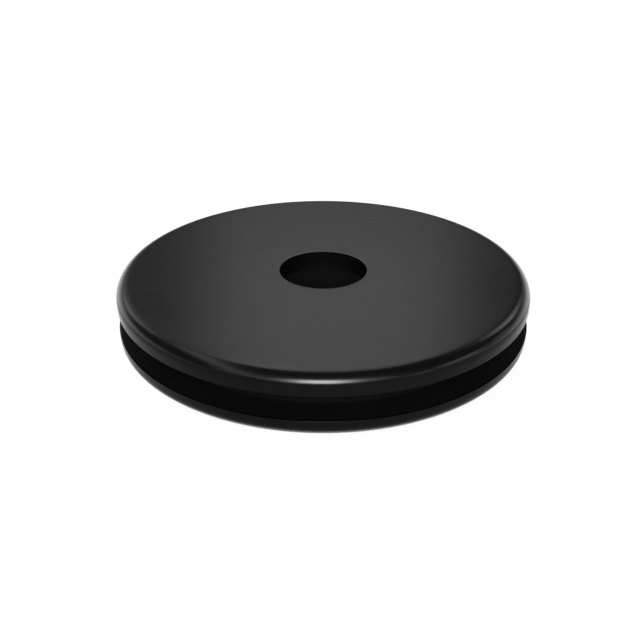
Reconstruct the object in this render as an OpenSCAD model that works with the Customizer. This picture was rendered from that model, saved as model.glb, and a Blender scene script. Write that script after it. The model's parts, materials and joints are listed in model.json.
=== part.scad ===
// Rubber panel grommet: one moulded ring with two flanges and a groove between
// them that snaps over the edge of a panel hole. A cable or rod passes through
// the bore. The bore stands along Z and the lower flange rests on the XY plane.

/* [Flanges] */
// Outer diameter of both flanges
flange_d = 44.5; // [42:0.25:60]
// Thickness of the upper flange
upper_t = 2.1; // [1.8:0.05:4]
// Thickness of the lower flange
lower_t = 1.9; // [1.8:0.05:4]
// Rounding of the outer rim, on the face side of each flange
rim_r = 1.35; // [0.3:0.05:1.4]
// Rounding of the thin lip at the mouth of the groove
lip_r = 0.05; // [0.05:0.05:0.3]

/* [Groove] */
// Width of the groove, which is the thickness of the panel it holds
groove_w = 2.6; // [1.2:0.1:6]
// Diameter at the bottom of the groove, which fills the hole in the panel
neck_d = 38; // [24:0.25:40]
// Fillet in the two corners at the bottom of the groove
root_r = 0.3; // [0.1:0.05:0.5]

/* [Bore] */
// Diameter of the hole that the cable passes through
bore_d = 9.5; // [6:0.25:16]
// Rounding of the edge at each end of the bore
mouth_r = 0.05; // [0.05:0.05:0.5]

/* [Hidden] */
flange_r = flange_d / 2;
neck_r = neck_d / 2;
bore_r = bore_d / 2;
groove_top = lower_t + groove_w;
// How far a cutting shape reaches past the surfaces that it cuts
past = 1;
$fn = 96;

// What rounding an outside corner at the origin takes off: a square over the
// corner less the circle that touches both sides. The material is towards -X, -Y.
module corner_waste(r) {
    difference() {
        translate([-r, -r]) square(r + past);
        translate([-r, -r]) circle(r);
    }
}

// What a fillet adds to an inside corner at the origin. The open space is
// towards +X, +Y.
module corner_fillet(r) {
    difference() {
        square(r);
        translate([r, r]) circle(r);
    }
}

// Half section of a flange from the bore out to the rim, t thick: its groove
// side lies on Y = 0 and its face is up
module flange_section(t) {
    difference() {
        translate([bore_r, 0]) square([flange_r - bore_r, t]);
        translate([flange_r, t]) corner_waste(rim_r);
        translate([flange_r, 0]) mirror([0, 1]) corner_waste(lip_r);
        translate([bore_r, t]) mirror([1, 0]) corner_waste(mouth_r);
    }
}

// Half section of the whole ring, standing on Y = 0: the neck between the two
// flanges, with a fillet in each corner of the groove
module ring_section() {
    translate([0, lower_t]) mirror([0, 1]) flange_section(lower_t);
    translate([0, groove_top]) flange_section(upper_t);
    translate([bore_r, lower_t]) square([neck_r - bore_r, groove_w]);
    translate([neck_r, lower_t]) corner_fillet(root_r);
    translate([neck_r, groove_top]) mirror([0, 1]) corner_fillet(root_r);
}

module grommet() {
    color([0.11, 0.11, 0.115])
        rotate_extrude()
            ring_section();
}

grommet();
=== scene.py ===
import json
import math

import bmesh
import bpy
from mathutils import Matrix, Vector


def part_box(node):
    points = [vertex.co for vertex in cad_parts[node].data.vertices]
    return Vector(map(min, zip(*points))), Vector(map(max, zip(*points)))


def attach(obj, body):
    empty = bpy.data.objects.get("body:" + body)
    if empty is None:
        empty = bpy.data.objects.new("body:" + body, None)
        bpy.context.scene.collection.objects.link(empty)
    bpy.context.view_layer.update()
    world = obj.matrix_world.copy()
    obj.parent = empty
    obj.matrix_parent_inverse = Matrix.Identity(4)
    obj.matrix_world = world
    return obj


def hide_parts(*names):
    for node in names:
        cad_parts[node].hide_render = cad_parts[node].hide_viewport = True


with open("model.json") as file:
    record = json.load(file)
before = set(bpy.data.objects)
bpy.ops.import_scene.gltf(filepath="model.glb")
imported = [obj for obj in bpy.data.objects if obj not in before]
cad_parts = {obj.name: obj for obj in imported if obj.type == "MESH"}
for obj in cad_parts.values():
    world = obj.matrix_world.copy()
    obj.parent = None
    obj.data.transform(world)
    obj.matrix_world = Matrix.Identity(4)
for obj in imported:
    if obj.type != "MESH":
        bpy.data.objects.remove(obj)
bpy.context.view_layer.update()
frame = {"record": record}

# Camera
# Stands in front and looks down at the upper flange, a little over four flange
# radii away, as a product camera on a short arm would.
ring_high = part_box("grommet")[1]
height = ring_high[2]
flange_radius = ring_high[0]
camera_reach = 4.362 * flange_radius
camera_side = -0.0155 * flange_radius
camera_elevation = math.radians(24.867)
camera_dip = math.radians(28.131)

camera_data = bpy.data.cameras.new("camera")
camera_data.lens = 50
camera_data.sensor_width = 36
camera_data.clip_start = 0.005
camera = bpy.data.objects.new("camera", camera_data)
bpy.context.scene.collection.objects.link(camera)
camera.location = (
    camera_side,
    -camera_reach * math.cos(camera_elevation),
    height + camera_reach * math.sin(camera_elevation),
)
camera.rotation_euler = (math.pi / 2 - camera_dip, 0, 0)
bpy.context.scene.camera = camera

# Grommet
# One ring of black rubber, pressed in a polished mould: two flanges, the groove
# for the panel's edge between them, and the bore. The section of the ring is
# swept round the bore by Geometry Nodes, with every edge rounded as moulded.
mounts = {mount["name"]: mount for mount in frame["record"]["mounts"]}
bore_radius = mounts["bore"]["dims"]["r_mm"] / 1000
neck_radius = mounts["panel_groove"]["dims"]["r_mm"] / 1000
groove_width = mounts["panel_groove"]["dims"]["length_mm"] / 1000
lower_thickness = mounts["panel_groove"]["pos_m"][2] - groove_width / 2
rim_rounding = 0.00135
lip_rounding = 0.00004
root_fillet = 0.0003
mouth_rounding = 0.00004
rounding_steps = 14
steps_round = 360
flat_step = 0.0005

ring_tree = bpy.data.node_groups.new("moulded ring", "GeometryNodeTree")
ring_sizes = {
    "Flange radius": flange_radius,
    "Neck radius": neck_radius,
    "Bore radius": bore_radius,
    "Height": height,
    "Groove width": groove_width,
    "Lower thickness": lower_thickness,
    "Rim rounding": rim_rounding,
    "Lip rounding": lip_rounding,
    "Root fillet": root_fillet,
    "Mouth rounding": mouth_rounding,
    "Step on flats": flat_step,
}
sockets = ring_tree.interface
sockets.new_socket("Geometry", in_out="INPUT", socket_type="NodeSocketGeometry")
size_ids = {
    name: sockets.new_socket(name, in_out="INPUT", socket_type="NodeSocketFloat").identifier
    for name in ring_sizes
}
steps_id = sockets.new_socket("Steps round", in_out="INPUT", socket_type="NodeSocketInt").identifier
rubber_id = sockets.new_socket("Rubber", in_out="INPUT", socket_type="NodeSocketMaterial").identifier
sockets.new_socket("Geometry", in_out="OUTPUT", socket_type="NodeSocketGeometry")


def add(tree, kind, **settings):
    """A node of this kind, with its properties set by name."""
    node = tree.nodes.new(kind)
    for name, value in settings.items():
        setattr(node, name, value)
    return node


def join(tree, *ends):
    """Links each output to the input that follows it in the list."""
    for source, target in zip(ends[::2], ends[1::2]):
        tree.links.new(source, target)


def feed(tree, inputs, values):
    """Gives each input its value, which is a number or another node's output."""
    for socket, value in zip(inputs, values):
        if isinstance(value, (int, float)):
            socket.default_value = value
        else:
            join(tree, value, socket)


def maths(tree, operation, *values):
    """A math node's result. Each value is a number or another node's output."""
    node = add(tree, "ShaderNodeMath", operation=operation)
    feed(tree, node.inputs, values)
    return node.outputs[0]


def by_corner(values):
    """Gives each corner of the section its own value, in the order of the list."""
    switch = add(ring_tree, "GeometryNodeIndexSwitch", data_type="FLOAT")
    while len(switch.index_switch_items) < len(values):
        switch.index_switch_items.new()
    join(ring_tree, add(ring_tree, "GeometryNodeInputIndex").outputs[0], switch.inputs["Index"])
    feed(ring_tree, switch.inputs[1:], values)
    return switch.outputs[0]


# The section has eight corners. They run from the bore's lower end out to the lower
# rim, in and out of the groove, and back over the upper rim to the bore.
size = add(ring_tree, "NodeGroupInput").outputs
groove_top = maths(ring_tree, "ADD", size["Lower thickness"], size["Groove width"])
corner_radii = [
    size["Bore radius"], size["Flange radius"], size["Flange radius"], size["Neck radius"],
    size["Neck radius"], size["Flange radius"], size["Flange radius"], size["Bore radius"],
]
corner_heights = [
    0.0, 0.0, size["Lower thickness"], size["Lower thickness"],
    groove_top, groove_top, size["Height"], size["Height"],
]
corner_roundings = [
    size["Mouth rounding"], size["Rim rounding"], size["Lip rounding"], size["Root fillet"],
    size["Root fillet"], size["Lip rounding"], size["Rim rounding"], size["Mouth rounding"],
]

line = add(ring_tree, "GeometryNodeCurvePrimitiveLine")
corners = add(ring_tree, "GeometryNodeResampleCurve")
corners.inputs["Count"].default_value = len(corner_radii)
place = add(ring_tree, "ShaderNodeCombineXYZ")
from_rim = maths(ring_tree, "SUBTRACT", by_corner(corner_radii), size["Flange radius"])
below_path = maths(ring_tree, "MULTIPLY", by_corner(corner_heights), -1.0)
outline = add(ring_tree, "GeometryNodeSetPosition")
closed = add(ring_tree, "GeometryNodeSetSplineCyclic")
closed.inputs["Cyclic"].default_value = True
rounded = add(ring_tree, "GeometryNodeFilletCurve", mode="POLY")
rounded.inputs["Count"].default_value = rounding_steps
join(
    ring_tree,
    line.outputs[0], corners.inputs["Curve"],
    corners.outputs[0], outline.inputs["Geometry"],
    from_rim, place.inputs["X"],
    below_path, place.inputs["Y"],
    place.outputs[0], outline.inputs["Position"],
    outline.outputs[0], closed.inputs[0],
    closed.outputs[0], rounded.inputs["Curve"],
    by_corner(corner_roundings), rounded.inputs["Radius"],
)

# Long straight runs are divided, so that the shading of a flat doesn't tilt
# towards the rounding at its end.
here = add(ring_tree, "GeometryNodeInputPosition")
ahead = add(ring_tree, "GeometryNodeFieldAtIndex", data_type="FLOAT_VECTOR")
next_index = maths(ring_tree, "ADD", add(ring_tree, "GeometryNodeInputIndex").outputs[0], 1.0)
run = add(ring_tree, "ShaderNodeVectorMath", operation="DISTANCE")
steps_in_run = maths(ring_tree, "DIVIDE", run.outputs["Value"], size["Step on flats"])
divided = add(ring_tree, "GeometryNodeSubdivideCurve")
join(
    ring_tree,
    here.outputs[0], ahead.inputs["Value"],
    next_index, ahead.inputs["Index"],
    here.outputs[0], run.inputs[0],
    ahead.outputs[0], run.inputs[1],
    rounded.outputs[0], divided.inputs["Curve"],
    maths(ring_tree, "FLOOR", steps_in_run), divided.inputs["Cuts"],
)

path = add(ring_tree, "GeometryNodeCurvePrimitiveCircle")
sweep = add(ring_tree, "GeometryNodeCurveToMesh")
outward = add(ring_tree, "GeometryNodeFlipFaces")
smooth = add(ring_tree, "GeometryNodeSetShadeSmooth")
real = add(ring_tree, "GeometryNodeRealizeInstances")
dress = add(ring_tree, "GeometryNodeSetMaterial")
result = add(ring_tree, "NodeGroupOutput")
join(
    ring_tree,
    size["Steps round"], path.inputs["Resolution"],
    size["Flange radius"], path.inputs["Radius"],
    path.outputs[0], sweep.inputs["Curve"],
    divided.outputs[0], sweep.inputs["Profile Curve"],
    sweep.outputs[0], outward.inputs["Mesh"],
    outward.outputs[0], smooth.inputs["Geometry"],
    smooth.outputs[0], real.inputs[0],
    real.outputs[0], dress.inputs["Geometry"],
    size["Rubber"], dress.inputs["Material"],
    dress.outputs[0], result.inputs[0],
)

# The rubber is so full of carbon black that its look is all in the skin: satin on
# the faces, with a faint grey bloom over it in clouds and a very fine grain from
# the steel of the mould.
skin_index = 1.16
satin_patch = 0.006
satin_spread = (0.1, 0.9)
satin_roughness = (0.26, 0.29)
bloom_patch = 0.009
bloom_spread = (0.15, 0.85)
carbon_black = (0.001, 0.001, 0.001, 1)
bloom_grey = (0.0025, 0.0025, 0.0025, 1)
grain_size = 0.00018
grain_depth = 0.000002
grain_strength = 0.12

rubber = bpy.data.materials.new("black rubber")
rubber.use_nodes = True
skin = rubber.node_tree
shader = skin.nodes["Principled BSDF"]
shader.inputs["IOR"].default_value = skin_index

place_on_ring = add(skin, "ShaderNodeTexCoord")
parts = add(skin, "ShaderNodeSeparateXYZ")
flat_place = add(skin, "ShaderNodeVectorMath", operation="MULTIPLY")
flat_place.inputs[1].default_value = (1, 1, 0)
from_axis = add(skin, "ShaderNodeVectorMath", operation="LENGTH")
join(
    skin,
    place_on_ring.outputs["Object"], parts.inputs[0],
    place_on_ring.outputs["Object"], flat_place.inputs[0],
    flat_place.outputs[0], from_axis.inputs[0],
)
height_on_ring = parts.outputs["Z"]
reach = from_axis.outputs["Value"]


def reading(tree, value, source_ends, result_ends, curve="LINEAR"):
    """Maps a value from one pair of ends to another, and holds it beyond them."""
    node = add(tree, "ShaderNodeMapRange", interpolation_type=curve)
    feed(tree, node.inputs, (value, *source_ends, *result_ends))
    return node.outputs["Result"]


def clouds(feature, detail):
    """Soft noise on the rubber, whose blobs are about this size in metres."""
    node = add(skin, "ShaderNodeTexNoise")
    node.inputs["Scale"].default_value = 1 / feature
    node.inputs["Detail"].default_value = detail
    join(skin, place_on_ring.outputs["Object"], node.inputs["Vector"])
    return node.outputs["Fac"]


tone = add(skin, "ShaderNodeMix", data_type="RGBA")
tone.inputs["A"].default_value = carbon_black
tone.inputs["B"].default_value = bloom_grey
grain = add(skin, "ShaderNodeBump")
grain.inputs["Strength"].default_value = grain_strength
grain.inputs["Distance"].default_value = grain_depth
join(
    skin,
    reading(skin, clouds(bloom_patch, 2), bloom_spread, (0, 1)), tone.inputs["Factor"],
    tone.outputs["Result"], shader.inputs["Base Color"],
    clouds(grain_size, 2), grain.inputs["Height"],
    grain.outputs["Normal"], shader.inputs["Normal"],
)
satin = reading(skin, clouds(satin_patch, 1), satin_spread, satin_roughness)

# The groove is duller than the faces, because its side of the mould isn't polished.
# The dull skin fades out at its two edges and just behind the lips.
groove_dullness = 0.6
edge_fade = 0.00006
lip_fade_start = 0.0003
lip_fade_end = 0.0001
groove_top_height = lower_thickness + groove_width
lip_ends = (flange_radius - lip_fade_start, flange_radius - lip_fade_end)

above_lower = reading(skin, height_on_ring, (lower_thickness - edge_fade, lower_thickness), (0, 1))
below_upper = reading(skin, height_on_ring, (groove_top_height, groove_top_height + edge_fade), (1, 0))
behind_lips = reading(skin, reach, lip_ends, (1, 0))
in_groove = maths(skin, "MULTIPLY", maths(skin, "MULTIPLY", above_lower, below_upper), behind_lips)
dull = maths(skin, "MULTIPLY", in_groove, groove_dullness)

# Each rim shines where the mould was buffed, from near the straight wall up to the
# start of the flat face, and the wall is smoother than the faces. Where these begin
# and end is a share of the rounding, 0 at the wall and 1 at the face.
gloss_index = 1.29
gloss_roughness = 0.22
gloss_start = (0.35, 0.47)
gloss_end = (0.9, 0.985)
wall_end = (0.1, 0.5)
wall_polish = -0.16
rim_fade = 0.001

up_the_rim = maths(skin, "ABSOLUTE", maths(skin, "SUBTRACT", height_on_ring, height / 2))


def on_rounding(shares, result_ends):
    """A mask that changes between two shares of the rounding, on both rims."""
    source_ends = [height / 2 - rim_rounding + share * rim_rounding for share in shares]
    return reading(skin, up_the_rim, source_ends, result_ends)


on_rim = reading(skin, reach, (neck_radius, neck_radius + rim_fade), (0, 1))
rounding = maths(skin, "MULTIPLY", on_rounding(gloss_start, (0, 1)), on_rounding(gloss_end, (1, 0)))
buffed = maths(skin, "MULTIPLY", rounding, on_rim)
straight_wall = maths(skin, "MULTIPLY", on_rounding(wall_end, (1, 0)), on_rim)
polish = maths(skin, "MULTIPLY", straight_wall, wall_polish)
shader.inputs["Coat IOR"].default_value = gloss_index
shader.inputs["Coat Roughness"].default_value = gloss_roughness
join(
    skin,
    buffed, shader.inputs["Coat Weight"],
    maths(skin, "ADD", maths(skin, "ADD", satin, polish), dull), shader.inputs["Roughness"],
)

seed_mesh = bpy.data.meshes.new("ring seed")
seed = bpy.data.objects.new("ring seed", seed_mesh)
bpy.context.scene.collection.objects.link(seed)
sweeping = seed.modifiers.new("moulded ring", "NODES")
sweeping.node_group = ring_tree
for name, value in ring_sizes.items():
    sweeping[size_ids[name]] = value
sweeping[steps_id] = steps_round
sweeping[rubber_id] = rubber
bpy.context.view_layer.update()
evaluated = seed.evaluated_get(bpy.context.evaluated_depsgraph_get())
ring_mesh = bpy.data.meshes.new_from_object(evaluated)
bpy.data.objects.remove(seed)
ring = bpy.data.objects.new("rubber_ring", ring_mesh)
bpy.context.scene.collection.objects.link(ring)
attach(ring, "root")
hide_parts("grommet")

# Floor
# White studio paper under the ring, far wider than the view. The camera and any
# gloss see it as white, and near the ring a part of its tone is the light that
# falls on it, so that a faint soft shadow stays. From below it is clear.
floor_half = 3.0
paper_gap = 0.00002
paper_tone = (0.8, 0.8, 0.8, 1)
paper_glow = 1.13
lit_share = 0.35
lit_reach = (0.06, 0.16)

floor_corners = [
    (x * floor_half, y * floor_half, -paper_gap)
    for x, y in ((-1, -1), (1, -1), (1, 1), (-1, 1))
]
floor_mesh = bpy.data.meshes.new("floor")
floor_mesh.from_pydata(floor_corners, [], [(0, 1, 2, 3)])
floor = bpy.data.objects.new("floor", floor_mesh)
bpy.context.scene.collection.objects.link(floor)

floor_white = bpy.data.materials.new("white paper")
floor_white.use_nodes = True
paper = floor_white.node_tree
paper.nodes.clear()
paper_lit = add(paper, "ShaderNodeBsdfDiffuse")
paper_lit.inputs["Color"].default_value = paper_tone
paper_white = add(paper, "ShaderNodeEmission")
paper_white.inputs["Strength"].default_value = paper_glow
floor_place = add(paper, "ShaderNodeTexCoord")
floor_reach = add(paper, "ShaderNodeVectorMath", operation="LENGTH")
join(paper, floor_place.outputs["Object"], floor_reach.inputs[0])
even_share = reading(paper, floor_reach.outputs["Value"], lit_reach, (1 - lit_share, 1), "SMOOTHSTEP")
ray = add(paper, "ShaderNodeLightPath").outputs
seen_or_glossy = maths(paper, "MAXIMUM", ray["Is Camera Ray"], ray["Is Glossy Ray"])
seen_in_any_way = maths(paper, "MAXIMUM", seen_or_glossy, ray["Is Transmission Ray"])
paper_mix = add(paper, "ShaderNodeMixShader")
paper_side = add(paper, "ShaderNodeNewGeometry")
clear = add(paper, "ShaderNodeBsdfTransparent")
open_below = add(paper, "ShaderNodeMixShader")
paper_out = add(paper, "ShaderNodeOutputMaterial")
join(
    paper,
    maths(paper, "MULTIPLY", seen_in_any_way, even_share), paper_mix.inputs["Fac"],
    paper_lit.outputs[0], paper_mix.inputs[1],
    paper_white.outputs[0], paper_mix.inputs[2],
    paper_side.outputs["Backfacing"], open_below.inputs["Fac"],
    paper_mix.outputs[0], open_below.inputs[1],
    clear.outputs[0], open_below.inputs[2],
    open_below.outputs[0], paper_out.inputs["Surface"],
)
floor_mesh.materials.append(floor_white)

# Lamps
# Soft boxes on stands round the table, all turned to the ring. Each has its bearing
# from straight behind, its height angle, its width and height as angles seen from
# the ring, and the brightness of its face, where 1 is white.
lamp_reach = 1.2
# Watts from each square metre of a face that looks white
power_of_white = 4
soft_boxes = {
    "front": (181, 31, 18, 23, 18.5),
    "front_halo": (180, 31, 32, 23, 4.5),
    "front_wide": (178, 30, 60, 12, 1.6),
    "behind_high": (4, 51, 24, 28, 3.6),
    "behind_low": (1, 32.3, 17, 17, 2.38),
    "behind_left_small": (-15, 49, 11, 16, 3.2),
    "left_behind": (-35, 29.5, 32, 22, 0.93),
    "left_high": (-73, 57, 52, 11, 1.5),
    "left_front": (-134, 31, 20, 11, 1.4),
    "left_front_high": (-124, 45, 20, 11, 1.3),
    "right_behind": (40, 34, 20, 15, 1.75),
    "right_low": (74, 20, 17, 9, 0.6),
    "right_front": (105, 20.5, 24, 8, 2.2),
    "right_far_front": (131, 14, 11, 12, 1.2),
}


def across(angle):
    """The width of a soft box that fills this angle, seen from the ring."""
    return 2 * lamp_reach * math.tan(math.radians(angle) / 2)


for name, (bearing, rise, wide, tall, brightness) in soft_boxes.items():
    turned = math.radians(bearing)
    raised = math.radians(rise)
    box = bpy.data.lights.new("lamp_" + name, "AREA")
    box.shape = "RECTANGLE"
    box.size = across(wide)
    box.size_y = across(tall)
    box.energy = power_of_white * box.size * box.size_y * brightness
    lamp = bpy.data.objects.new("lamp_" + name, box)
    lamp.location = (
        lamp_reach * math.sin(turned) * math.cos(raised),
        lamp_reach * math.cos(turned) * math.cos(raised),
        lamp_reach * math.sin(raised),
    )
    lamp.rotation_euler = lamp.location.to_track_quat("Z", "Y").to_euler()
    lamp.visible_camera = False
    bpy.context.scene.collection.objects.link(lamp)

# Room
# A plain white room, with a tent of cloth over the table, which the camera doesn't
# see. The cloth is white up to a little above the table, and dim above that.
tent_radius = 2.6
tent_panels = 64
tent_rows = 32
tent_foot = -0.001
tent_fade = (0.09 * tent_radius, 0.28 * tent_radius)
tent_glow = (1.0, 0.05)

tent_shape = bmesh.new()
bmesh.ops.create_uvsphere(tent_shape, u_segments=tent_panels, v_segments=tent_rows, radius=tent_radius)
below_table = [vertex for vertex in tent_shape.verts if vertex.co.z < tent_foot]
bmesh.ops.delete(tent_shape, geom=below_table, context="VERTS")
tent_mesh = bpy.data.meshes.new("tent")
tent_shape.to_mesh(tent_mesh)
tent_shape.free()
tent = bpy.data.objects.new("tent", tent_mesh)
tent.visible_camera = False
bpy.context.scene.collection.objects.link(tent)

tent_cloth = bpy.data.materials.new("tent cloth")
tent_cloth.use_nodes = True
tent_cloth.cycles.emission_sampling = "NONE"
cloth = tent_cloth.node_tree
cloth.nodes.clear()
cloth_place = add(cloth, "ShaderNodeTexCoord")
cloth_parts = add(cloth, "ShaderNodeSeparateXYZ")
cloth_glow = add(cloth, "ShaderNodeEmission")
cloth_out = add(cloth, "ShaderNodeOutputMaterial")
glow_by_height = reading(cloth, cloth_parts.outputs["Z"], tent_fade, tent_glow, "SMOOTHSTEP")
join(
    cloth,
    cloth_place.outputs["Object"], cloth_parts.inputs[0],
    glow_by_height, cloth_glow.inputs["Strength"],
    cloth_glow.outputs[0], cloth_out.inputs["Surface"],
)
tent_mesh.materials.append(tent_cloth)

room = bpy.data.worlds.new("studio")
bpy.context.scene.world = room
room.use_nodes = True
walls = room.node_tree.nodes["Background"]
walls.inputs["Color"].default_value = (1, 1, 1, 1)
walls.inputs["Strength"].default_value = 1.0

bpy.context.scene.view_settings.view_transform = "Standard"
